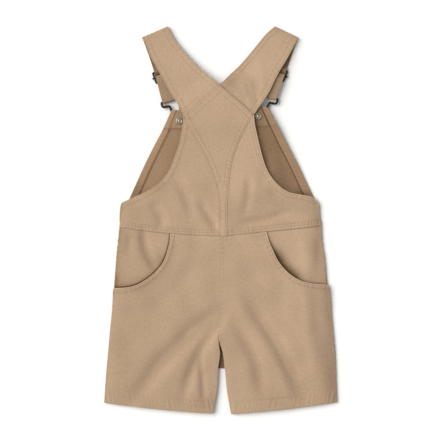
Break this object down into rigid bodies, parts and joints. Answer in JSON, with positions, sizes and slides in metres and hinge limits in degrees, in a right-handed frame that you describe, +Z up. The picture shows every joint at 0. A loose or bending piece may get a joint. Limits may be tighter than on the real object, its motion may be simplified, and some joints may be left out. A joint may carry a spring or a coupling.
{
  "type": "shortalls",
  "caption": "Child's plain canvas shortalls laid flat with the back uppermost: crossed straps, bib, scoop pockets and short legs.",
  "frame": {"origin": "centre of the garment's outline, on the surface that it lies on", "axes": "+Z up out of the surface, +Y towards the shoulders, +X towards the wearer's right, since the back is uppermost"},
  "size_m": [0.3486, 0.5812, 0.0121],
  "materials": {
    "canvas": "washed cotton canvas, matt",
    "canvas_inside": "inside of the same canvas, matt",
    "black_iron": "blackened steel wire, satin",
    "zinc": "bright zinc, satin"
  },
  "bodies": {
    "root": {"front_leg_left": "canvas", "front_leg_right": "canvas", "front_bib": "canvas_inside", "bib_hem_left": "canvas_inside", "bib_hem_right": "canvas_inside", "bib_facing": "canvas_inside", "back_side_left": "canvas", "back_side_right": "canvas", "hip_facing_left": "canvas", "hip_facing_right": "canvas", "back_leg_left": "canvas", "back_leg_right": "canvas", "strap_left": "canvas", "strap_right": "canvas", "hook_left": "black_iron", "hook_right": "black_iron", "slider_left": "black_iron", "slider_right": "black_iron", "button_left": "zinc", "button_right": "zinc", "button_back_left": "zinc", "button_back_right": "zinc"}
  },
  "joints": []
}
